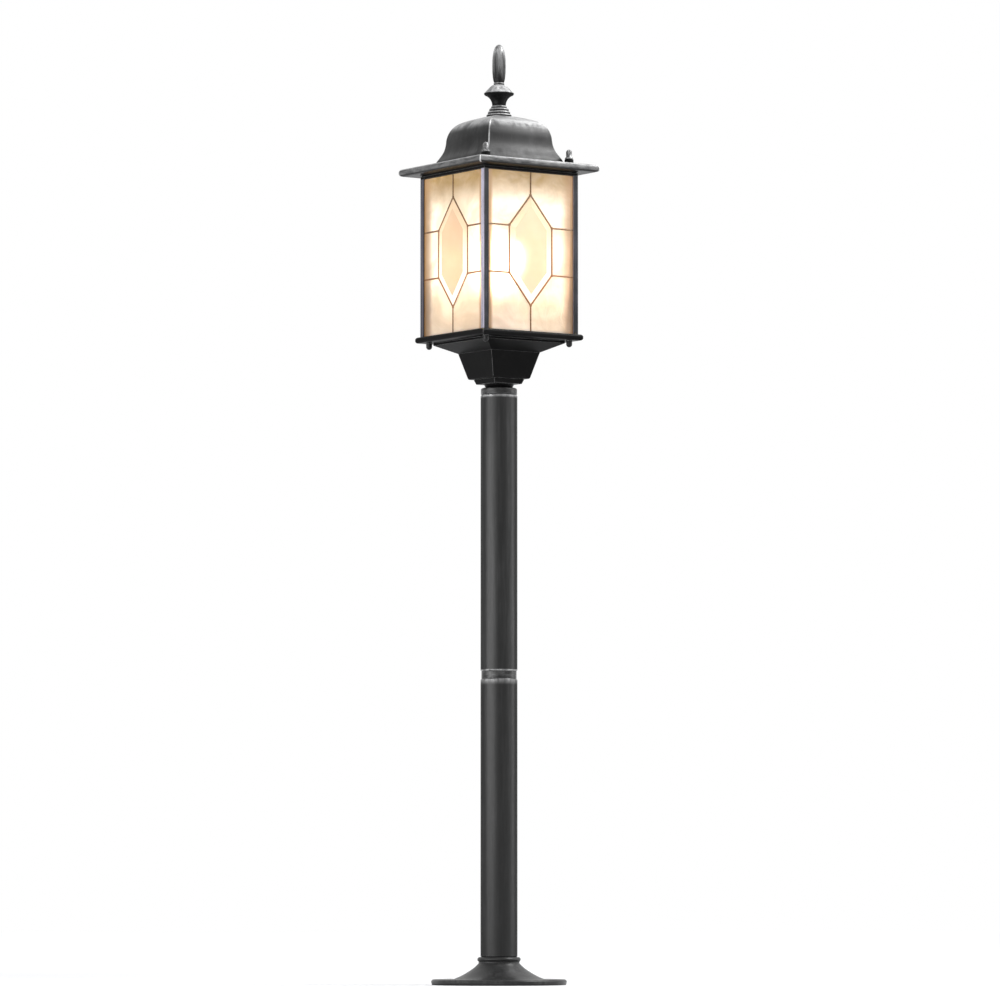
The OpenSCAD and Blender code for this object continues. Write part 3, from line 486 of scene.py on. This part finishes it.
MATERIALS = {
    "foot_casting": antique(
        "foot_casting", grey(22), grey(110), rub=0.4, streak=EVEN, roughness=0.36,
        specular=0.25, recess=3),
    "post_tube": antique(
        "post_tube", grey(7), grey(76), rub=0.13, streak=(1, 1, 0.05), roughness=0.36,
        edge=0.5, where=tube_rub_and_top_light, line=tube_wear_and_highlight_lines, grazing=0.1),
    "post_ring": antique(
        "post_ring", grey(18), grey(130), rub=0.7, streak=ROUND, roughness=0.3, specular=0.25),
    "post_collar": antique(
        "post_collar", grey(18), grey(130), rub=0.6, streak=ROUND, roughness=0.3,
        specular=0.25),
    "base_casting": antique(
        "base_casting", grey(9), grey(40), rub=0.15, streak=(1, 1, 0.4), specular=0.04,
        edge=1.0, worn_to=grey(128)),
    "corner_post": antique(
        "corner_post", srgb(22, 24, 28), srgb(190, 186, 204), streak=(1, 1, 0.04),
        roughness=0.3, specular=0.14, edge=0.5, worn_to=srgb(120, 120, 130), wear=0.7,
        metal=0.8, where=post_rub_and_painted_light),
    "top_frame": antique(
        "top_frame", grey(14), grey(40), rub=0.15, streak=EVEN, roughness=0.5, specular=0.05,
        edge=0.3),
    "roof_casting": antique(
        "roof_casting", grey(12), grey(160), rub=0.16, streak=roof_streak, roughness=0.36,
        specular=0.15, edge=0.8, worn_to=grey(215), wear=1.4, metal=0.5, where=roof_rub_and_highlight,
        line=roof_wear_and_highlight_lines),
    "finial_casting": antique(
        "finial_casting", grey(8), grey(205), rub=0.4, streak=(0.7, 0.7, 0.12),
        roughness=0.32, specular=0.07, edge=0.4, worn_to=grey(225), where=finial_rub_highlight_and_shade,
        recess=3.5, grazing=0.1),
    "black_screw": antique(
        "black_screw", grey(16), grey(60), rub=0.25, streak=EVEN, specular=0.2, edge=0.5),
    "bright_screw": antique(
        "bright_screw", grey(60), grey(190), rub=1.3, streak=EVEN, roughness=0.24,
        specular=0.5, edge=0.9, worn_to=grey(235), wear=0.8, metal=0.8),
    "zinc_steel": plain("zinc_steel", grey(176), 0.38, metallic=0.95, spread=0.14, scale=180),
    "brass": plain("brass", srgb(214, 176, 104), 0.3, metallic=1.0, scale=160),
    "black_rubber": plain(
        "black_rubber", grey(26), 0.75, spread=0.2, scale=90, grain=0.05,
        Specular_IOR_Level=0.1),
    "water_glass": water_glass(),
    "bevelled_glass": bevelled_glass(),
    "lead": lead(),
    "lampholder_body": lampholder_body(),
    "bulb_glass": lit_bulb(),
    "bulb_cap": plain("bulb_cap", grey(196), 0.3, metallic=1.0, spread=0.1, scale=200),
    "bulb_insulator": plain("bulb_insulator", srgb(30, 26, 36), 0.15),
    "stem_glass": plain(
        "stem_glass", srgb(238, 244, 248), 0.05, spread=0.03, Transmission_Weight=0.9,
        IOR=1.5),
    "filament": plain(
        "filament", srgb(255, 214, 150), 0.5, spread=0.05,
        Emission_Color=srgb(255, 206, 130), Emission_Strength=14.0),
    "terminal_block": plain(
        "terminal_block", srgb(226, 222, 208), 0.4, spread=0.05, scale=80, grain=0.03),
    "wire_brown": plain("wire_brown", srgb(104, 62, 36), 0.42, spread=0.1, scale=120),
    "wire_blue": plain("wire_blue", srgb(44, 88, 168), 0.42, spread=0.1, scale=120),
}

for part in frame["record"]["subparts"]:
    part_mesh = frame["nodes"][part["node"]].data
    part_mesh.materials.clear()
    part_mesh.materials.append(MATERIALS[part["material_slot"]])


# ---------------------------------------------------------------- pieces

FACES = {"front": 0, "right": 90, "back": 180, "left": -90}   # turned about the axis, degrees
HEX_W, HEX_SIDE, HEX_H = 31.5, 29.0, 67.5     # halves of the six-sided ring of lead
MERGE = 0.001 * MM                            # points nearer than this are one


def cubic(a, b, c, d, count):
    """Points of a cubic curve, its first point left out."""
    a, b, c, d = (Vector(p) for p in (a, b, c, d))
    points = []
    for i in range(1, count + 1):
        t = i / count
        s = 1 - t
        points.append(s ** 3 * a + 3 * s * s * t * b + 3 * s * t * t * c + t ** 3 * d)
    return points


def add_piece(name, verts, faces, slot, body, replaced, smooth_below=38):
    """A piece from points in millimetres, with its slot's material, in place of CAD nodes."""
    mesh = bpy.data.meshes.new(name)
    mesh.from_pydata([Vector(v) * MM for v in verts], [], faces)
    return dress(mesh, name, slot, body, replaced, smooth_below)


def dress(mesh, name, slot, body, replaced, smooth_below=38):
    """Makes a piece of a mesh in metres, smooth where its faces meet at less than an angle."""
    bm = bmesh.new()
    bm.from_mesh(mesh)
    bmesh.ops.remove_doubles(bm, verts=bm.verts, dist=MERGE)
    bmesh.ops.recalc_face_normals(bm, faces=bm.faces)
    bm.to_mesh(mesh)
    bm.free()
    mesh.shade_smooth()
    mesh.set_sharp_from_angle(angle=math.radians(smooth_below))
    mesh.materials.clear()
    mesh.materials.append(MATERIALS[slot])
    obj = bpy.data.objects.new(name, mesh)
    bpy.context.scene.collection.objects.link(obj)
    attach(obj, body)
    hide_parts(*replaced)
    return obj


def square_ring(half, z, corner, steps=4):
    """A square outline about the axis, with round corners."""
    corner = min(corner, half * 0.9)
    middle = half - corner
    ring = []
    for quarter, (sx, sy) in enumerate(((1, 1), (-1, 1), (-1, -1), (1, -1))):
        for i in range(steps + 1):
            a = math.radians(quarter * 90 + i * 90 / steps)
            ring.append((sx * middle + corner * math.cos(a),
                         sy * middle + corner * math.sin(a), z))
    return ring


def loft(rings):
    """Points and faces of a closed form through rings of equal length."""
    count = len(rings[0])
    verts = [v for ring in rings for v in ring]
    faces = []
    for low in range(0, len(verts) - count, count):
        high = low + count
        for i in range(count):
            j = (i + 1) % count
            faces.append((low + i, low + j, high + j, high + i))
    faces.append(tuple(reversed(range(count))))
    faces.append(tuple(range(len(verts) - count, len(verts))))
    return verts, faces


def joined(parts):
    """Points and faces of several forms as one."""
    verts, faces = [], []
    for part_verts, part_faces in parts:
        start = len(verts)
        verts += part_verts
        faces += [tuple(start + i for i in face) for face in part_faces]
    return verts, faces


def inset(points, distance):
    """An outline of (half-width, height) points moved towards the axis by distance."""
    moved = []
    for i, point in enumerate(points):
        along = points[min(i + 1, len(points) - 1)] - points[max(i - 1, 0)]
        moved.append(point + Vector((-along.y, along.x)) * (distance / along.length))
    return moved


def dome():
    """The domed roof as one thin casting: flare, waist, brow, and a flat top under the rings."""
    foot, waist = Vector((DOME_HALF, 0)), Vector((47.2, 33.9))
    brow, top = Vector((34.9, 55.0)), Vector((16.0, DOME_HIGH))
    wall, hip = 2.6, 1.6
    side = [foot]
    side += cubic(foot, foot + Vector((0.1, 11.5)), waist + Vector((0.7, -21.4)), waist, 24)
    side += cubic(waist, waist + Vector((-1.1, 8)), brow + Vector((8, -4.7)), brow, 18)
    side += cubic(brow, brow + Vector((-6.6, 3.3)), top + Vector((4, -1.3)), top, 12)
    inside = [p for p in inset(side, wall) if 0 < p.y < top.y - wall]
    inside = [Vector((inside[0].x, 0))] + inside + [Vector((top.x - wall, top.y - wall))]
    outline = inside[::-1] + side
    shell = loft([square_ring(p.x, PLATE_TOP + p.y, hip) for p in outline])

    near, far = 45.0, 54.3            # pads for the dome's screws, one in each corner
    foot_gap, pad_high = 0.02, 9.0
    pads = []
    for sx in (-1, 1):
        for sy in (-1, 1):
            corners = ((near, near), (far, near), (far, far), (near, far))
            pads.append(loft([[(sx * x, sy * y, PLATE_TOP + z) for x, y in corners]
                              for z in (foot_gap, pad_high)]))
    verts, faces = joined([shell] + pads)
    add_piece("domed_roof", verts, faces, "roof_casting", "roof", ["roof_dome"])


def turned(profile, count, shape=None):
    """Rings of a turned form from (radius, height) points.

    shape(radius, angle, height), if given, says what the radius becomes there."""
    rings = []
    for radius, z in profile:
        ring = []
        for i in range(count):
            a = 2 * math.pi * i / count
            r = shape(radius, a, z) if shape else radius
            ring.append((r * math.cos(a), r * math.sin(a), z))
        rings.append(ring)
    return rings


def finial():
    """The waisted knob and its fluted spear, with the stud that holds them."""
    spear_r, neck_r = 8.6, 8.5
    rim, spear_foot, tip = 18.4, 32.0, FINIAL_HIGH      # heights above the finial's foot
    widest = spear_foot + 19.9
    stud_r, stud_foot, stud_top = 3.0, -22.8, 0.5
    flutes, flute_r, flute_deep, flute_start = 6, 4.2, 1.5, 3.0
    pitch = 2 * math.pi / flutes

    def fluted(radius, angle, z):
        above = z - KNOB_FOOT - spear_foot
        if above <= 0:
            return radius
        centre = spear_r + flute_r - flute_deep * min(1.0, above / flute_start)
        away = (angle - pitch / 2) % pitch
        away = min(away, pitch - away)
        across = centre * math.sin(away)
        if across >= flute_r:
            return radius
        return min(radius, centre * math.cos(away) - math.sqrt(flute_r ** 2 - across ** 2))

    r, s, n = KNOB_R, spear_r, neck_r
    under, over = (r - 0.9, rim - 1.9), (r - 0.8, rim + 1.2)      # the rim's rounded edge
    throat, spear_neck = s * 0.7, s * 0.76
    side = [Vector(p) for p in (
        (0.01, 0), (n + 0.6, 0), (n + 1.15, 0.7), (n + 1.2, 1.6), (n + 0.8, 2.6), (n, 3.2))]
    side += cubic((n, 3.2), (n - 0.3, 8), (n + 2.4, rim - 4.2), under, 14)
    side += [Vector(p) for p in ((r, rim - 0.6), (r, rim + 0.5), over)]
    side += cubic(over, (r * 0.8, rim + 4), (s + 2.2, spear_foot - 4.4),
                  (s * 0.86, spear_foot - 3), 14)
    side += [Vector(p) for p in (
        (throat, spear_foot - 2.6), (spear_neck, spear_foot - 2),
        (spear_neck, spear_foot - 0.6), (throat, spear_foot))]
    side += cubic((throat, spear_foot), (s * 0.86, spear_foot + 3), (s, spear_foot + 10),
                  (s, widest), 16)
    side += cubic((s, widest), (s, tip - 10), (s * 0.66, tip - 0.4), (0.02, tip), 22)
    body = loft(turned([(p.x, KNOB_FOOT + p.y) for p in side], 120, fluted))
    stud = loft(turned([(stud_r, KNOB_FOOT + z) for z in (stud_foot, stud_top)], 32))
    verts, faces = joined([body, stud])
    add_piece("fluted_finial", verts, faces, "finial_casting", "roof", ["finial"], 46)


def on_face(turn, across, out, height):
    """A point given across a face, out from the axis and up, for the face turned about it."""
    a = math.radians(turn)
    return Vector((across * math.cos(a) + out * math.sin(a),
                   across * math.sin(a) - out * math.cos(a), height))


CAME_OVERRUN = 0.5               # how far a lead strip runs past the two points it joins


def came(start, end, turn, half=1.05, rise=0.8):
    """A half-round lead strip on a face, between two points of it."""
    start, end = Vector(start), Vector(end)
    along = (end - start).normalized()
    side = Vector((-along.y, along.x))
    rings = []
    for middle in (start - along * CAME_OVERRUN, end + along * CAME_OVERRUN):
        ring = []
        for a in range(0, 181, 20):
            edge = middle + side * (half * math.cos(math.radians(a)))
            out = GLASS_OUT + rise * math.sin(math.radians(a))
            ring.append(on_face(turn, edge.x, out, edge.y))
        rings.append(ring)
    return loft(rings)


def solder(at, turn, radius=1.9, rise=0.95, count=16):
    """A flat drop of solder over a joint of the lead strips."""
    rings = []
    for lift in (0.0, 0.35, 0.7, 0.92, 1.0):
        reach = radius * math.sqrt(max(0.0004, 1 - lift * lift))
        ring = []
        for i in range(count):
            a = 2 * math.pi * i / count
            ring.append(on_face(turn, at[0] + reach * math.cos(a), GLASS_OUT + rise * lift,
                                at[1] + reach * math.sin(a)))
        rings.append(ring)
    return loft(rings)


def lead_lines(side, turn):
    """The six-sided ring and the lines from it to the pane's edges."""
    w, s, h = HEX_W, HEX_SIDE, HEX_H
    corners = [(w, -s), (w, s), (0, h), (-w, s), (-w, -s), (0, -h)]
    corners = [(x, HEX_Z + y) for x, y in corners]
    reach = LEAD_HALF - CAME_OVERRUN
    low, high = PANE_FOOT + CAME_OVERRUN, PANE_TOP - CAME_OVERRUN
    lines = list(zip(corners, corners[1:] + corners[:1]))
    lines += [((0, low), (0, HEX_Z - h)), ((0, HEX_Z + h), (0, high))]
    lines += [((x * w, HEX_Z + y * s), (x * reach, HEX_Z + y * s))
              for x in (-1, 1) for y in (-1, 1)]
    parts = [came(a, b, turn) for a, b in lines] + [solder(c, turn) for c in corners]
    verts, faces = joined(parts)
    add_piece("lead_lines_" + side, verts, faces, "lead", "lamp", ["leading_" + side], 50)


def wavy_pane(side, turn):
    """The pane cut finely, and drawn in a little where the wave of the glass falls."""
    deep, cell = 0.5, 3.0             # the wave's depth, and the width of a cell
    still_from, still_edge = 61.5, 3.5   # the pane stays flat past these, where it is held
    rise_over = 6                     # the wave has its full depth this far inside them
    across, out = on_face(turn, 1, 0, 0), on_face(turn, 0, 1, 0)

    mesh = frame["nodes"]["glass_" + side].data.copy()
    bm = bmesh.new()
    bm.from_mesh(mesh)
    bmesh.ops.remove_doubles(bm, verts=bm.verts, dist=MERGE)
    cuts = [(across, k * cell * MM) for k in range(-20, 21)]
    cuts += [(Vector((0, 0, 1)), (CAGE_FOOT + k * cell) * MM) for k in range(1, 65)]
    for normal, place in cuts:
        bmesh.ops.bisect_plane(bm, geom=bm.verts[:] + bm.edges[:] + bm.faces[:], dist=MERGE,
                               plane_co=normal * place, plane_no=normal)
    for vert in bm.verts:
        u, depth, z = vert.co.dot(across) / MM, vert.co.dot(out) / MM, vert.co.z / MM
        outer = depth > (GLASS_OUT + GLASS_IN) / 2
        room = min(still_from - abs(u), z - CAGE_FOOT - still_edge, CAGE_TOP - still_edge - z)
        share = max(0.0, min(1.0, room / rise_over))
        seed = Vector((turn + (7 if outer else 31), 0, 0))
        place = Vector((u * 0.075, z * 0.05, 0))
        wave = 0.5 + 0.75 * noise.noise(place + seed) + 0.3 * noise.noise(place * 2.7 + seed)
        shift = deep * max(0.0, min(1.0, wave)) * share
        vert.co += out * (shift * MM * (-1 if outer else 1))
    bm.to_mesh(mesh)
    bm.free()
    dress(mesh, "wavy_pane_" + side, "water_glass", "lamp", ["glass_" + side], 40)


dome()
finial()
for side, turn in FACES.items():
    lead_lines(side, turn)
    wavy_pane(side, turn)


def smooth_shading(obj, sharp):
    """Shades a CAD node's curved faces as smooth and keeps its edges, its mesh unchanged."""
    weld = obj.modifiers.new("weld", "WELD")
    weld.merge_threshold = 2 * MERGE
    split = obj.modifiers.new("split", "EDGE_SPLIT")
    split.split_angle = math.radians(sharp)
    weighted = obj.modifiers.new("weighted", "WEIGHTED_NORMAL")
    weighted.keep_sharp = True


for node_name, node_object in frame["nodes"].items():
    bevelled = node_name.startswith("bevel_")      # its facets meet at small angles
    smooth_shading(node_object, sharp=4 if bevelled else 36)


# ---------------------------------------------------------------- studio, in metres

RIGHT = Vector((0.8241, -0.5664, 0.0))       # to the right in the picture
TOWARDS = Vector((-0.5664, -0.8241, 0.0))    # from the lamp towards the camera
PITCH = math.radians(4.2)                    # the camera looks up by this much
AIM = Vector((0.0, 0.0, 0.591))
DISTANCE = 6.848
SENSOR, FOCAL_LENGTH = 36, 201.6             # of the camera, in millimetres
SHIFT = 0.001

# A lamp's turn about the object is measured from the camera's side, positive to the right.
SOFT_LIGHTS = [
    # name, turn, away, height, width, tall, power, height of its target
    ("key", 78, 2.0, 2.25, 1.4, 1.4, 36, 1.0),
    ("key_core", 82, 2.0, 2.6, 0.5, 0.5, 16, 1.0),
    ("upper", 98, 2.0, 3.0, 0.9, 0.8, 47, 1.05),
    ("rim", 150, 1.5, 2.5, 0.5, 0.5, 4, 1.05),
    ("top", 0, 0.15, 2.7, 0.4, 0.4, 8, 1.05),
    ("side_fill", 66, 2.2, 1.4, 0.7, 0.4, 7, 1.0),
    ("left_box", -58, 2.0, 0.6, 1.7, 0.9, 26, 0.6),
    ("left_fall", -28, 2.0, 0.6, 1.0, 0.9, 6, 0.6),
    ("right_strip", 98, 2.0, 0.65, 0.6, 1.2, 8.5, 0.65),
]


def add_to_scene(name, data):
    obj = bpy.data.objects.new(name, data)
    bpy.context.scene.collection.objects.link(obj)
    return obj


def camera():
    data = bpy.data.cameras.new("camera")
    data.lens = FOCAL_LENGTH
    data.sensor_width = SENSOR
    data.shift_x = SHIFT
    data.clip_start, data.clip_end = 0.05, 100
    obj = add_to_scene("camera", data)
    forward = -TOWARDS * math.cos(PITCH) + Vector((0, 0, math.sin(PITCH)))
    obj.location = AIM - forward * DISTANCE
    obj.rotation_euler = forward.to_track_quat("-Z", "Y").to_euler()
    bpy.context.scene.camera = obj


def soft_light(name, turn, away, height, width, tall, power, target):
    """A soft box about the object that faces the target on its axis."""
    data = bpy.data.lights.new(name, "AREA")
    data.shape = "RECTANGLE"
    data.size, data.size_y = width, tall
    data.energy = power
    obj = add_to_scene(name, data)
    turn = math.radians(turn)
    sideways = RIGHT * math.sin(turn) + TOWARDS * math.cos(turn)
    obj.location = sideways * away + Vector((0, 0, height))
    look = Vector((0, 0, target)) - obj.location
    obj.rotation_euler = look.to_track_quat("-Z", "Y").to_euler()


def bulb_light():
    """The lit bulb's light on what is around it."""
    data = bpy.data.lights.new("bulb_light", "POINT")
    data.energy = 0.25
    data.color = (1.0, 0.88, 0.70)
    data.shadow_soft_size = 24 * MM
    add_to_scene("bulb_light", data).location = BULB_AT


def seen_white(tree):
    """1 for the rays that show the background: straight, in a reflection, or through glass."""
    path = tree.nodes.new("ShaderNodeLightPath")
    total = path.outputs["Is Camera Ray"]
    for ray in ("Is Glossy Ray", "Is Transmission Ray"):
        add = tree.nodes.new("ShaderNodeMath")
        add.operation, add.use_clamp = "ADD", True
        tree.links.new(total, add.inputs[0])
        tree.links.new(path.outputs[ray], add.inputs[1])
        total = add.outputs[0]
    return total


def world():
    """A white background, and a dimmer, slightly cool light from all round."""
    scene_world = bpy.data.worlds.new("world")
    bpy.context.scene.world = scene_world
    scene_world.use_nodes = True
    tree = scene_world.node_tree
    tree.nodes.clear()
    ambient = tree.nodes.new("ShaderNodeBackground")
    ambient.inputs["Color"].default_value = (0.93, 0.95, 1.0, 1.0)
    ambient.inputs["Strength"].default_value = 0.3
    white = tree.nodes.new("ShaderNodeBackground")
    white.inputs["Color"].default_value = (1.0, 1.0, 1.0, 1.0)
    mix = tree.nodes.new("ShaderNodeMixShader")
    out = tree.nodes.new("ShaderNodeOutputWorld")
    tree.links.new(seen_white(tree), mix.inputs[0])
    tree.links.new(ambient.outputs[0], mix.inputs[1])
    tree.links.new(white.outputs[0], mix.inputs[2])
    tree.links.new(mix.outputs[0], out.inputs[0])


def floor(half=14.0):
    """A plain pale floor that keeps the lamp's shadow and fades into the white background."""
    corners = [(-half, -half, 0), (half, -half, 0), (half, half, 0), (-half, half, 0)]
    mesh = bpy.data.meshes.new("floor")
    mesh.from_pydata(corners, [], [(0, 1, 2, 3)])
    obj = add_to_scene("floor", mesh)
    g = Graph("floor")
    speck = g.noise(g.point, 30, 4)
    lit = g.add("ShaderNodeBsdfDiffuse", {"Color": g.mix(speck, grey(238), grey(244))})
    away = g.vector("DISTANCE", g.point, (0, 0, 0)).outputs["Value"]
    lift = g.add("ShaderNodeEmission",
                 {"Color": (1, 1, 1, 1), "Strength": g.ramp(away, 0.3, 3.5, 0.0, 0.76)})
    both = g.add("ShaderNodeAddShader", {0: lit.outputs[0], 1: lift.outputs[0]})
    share = seen_white(g.material.node_tree)
    mix = g.add("ShaderNodeMixShader", {0: share, 1: lit.outputs[0], 2: both.outputs[0]})
    g.add("ShaderNodeOutputMaterial", {"Surface": mix.outputs[0]})
    mesh.materials.append(g.material)


camera()
world()
floor()
for values in SOFT_LIGHTS:
    soft_light(*values)
bulb_light()
bpy.context.scene.view_settings.view_transform = "Standard"
